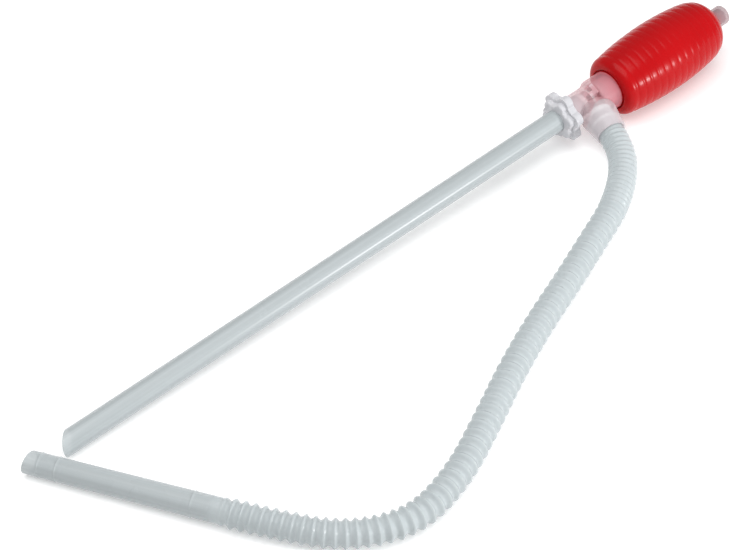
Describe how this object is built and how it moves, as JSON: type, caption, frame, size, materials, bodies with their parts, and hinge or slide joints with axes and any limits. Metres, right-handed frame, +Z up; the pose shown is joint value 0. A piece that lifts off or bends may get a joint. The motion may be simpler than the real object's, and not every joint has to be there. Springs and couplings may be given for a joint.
{
  "type": "hand siphon pump",
  "caption": "Hand siphon pump: rigid suction tube with a slanted tip and stop collar, valve head, ribbed squeeze bulb with vent cap, and a corrugated discharge hose.",
  "frame": {"origin": "on the surface under the middle of the pump's length and width, measured without the hose and its spout", "axes": "+X along the pump from the suction tip to the vent cap, -Y towards the outlet and hose, +Z up; the tube leans up by about 2 degrees towards the bulb"},
  "size_m": [0.6314, 0.2264, 0.0528],
  "materials": {
    "suction_tube": "smooth translucent extruded tube",
    "stop_collar": "soft translucent moulding",
    "pump_body": "smooth translucent moulding",
    "valve_plastic": "matt white moulding",
    "valve_rubber": "soft matt rubber",
    "squeeze_bulb": "glossy soft red vinyl",
    "vent_cap": "smooth translucent moulding",
    "discharge_hose": "translucent corrugated hose",
    "hose_spout": "smooth translucent tube"
  },
  "bodies": {
    "pump": {"suction_tube": "suction_tube", "pump_body": "pump_body", "inlet_valve_seat": "valve_plastic", "inlet_valve_cage": "valve_plastic", "outlet_valve_seat": "valve_plastic", "outlet_valve_cage": "valve_plastic", "squeeze_bulb": "squeeze_bulb", "discharge_hose": "discharge_hose", "hose_spout": "hose_spout"},
    "collar": {"stop_collar": "stop_collar"},
    "inlet_disc": {"inlet_valve_disc": "valve_rubber"},
    "outlet_disc": {"outlet_valve_disc": "valve_rubber"},
    "seal": {"vent_seal": "valve_rubber"},
    "cap": {"vent_cap": "vent_cap"}
  },
  "joints": [
    {"name": "collar_slide", "type": "slide", "parent": "pump", "child": "collar", "axis": [-0.9994, 0, -0.0347], "range_m": [0, 0.38]},
    {"name": "inlet_valve_lift", "type": "slide", "parent": "pump", "child": "inlet_disc", "axis": [0.9994, 0, 0.0347], "range_m": [0, 0.0026]},
    {"name": "outlet_valve_lift", "type": "slide", "parent": "pump", "child": "outlet_disc", "axis": [-0.2189, -0.9596, -0.1769], "range_m": [0, 0.0026]},
    {"name": "vent_cap_lift", "type": "slide", "parent": "pump", "child": "seal", "axis": [0.9994, 0, 0.0347], "range_m": [0, 0.0075]},
    {"name": "vent_cap_turn", "type": "hinge", "parent": "seal", "child": "cap", "pos_m": [0.29083, 0.0021, 0.02819], "axis": [0.9994, 0, 0.0347], "range_deg": [0, 1080]}
  ],
  "couplings": [
    {"joint": "vent_cap_turn", "follows": "vent_cap_lift", "rad_per_m": 2513.3}
  ]
}
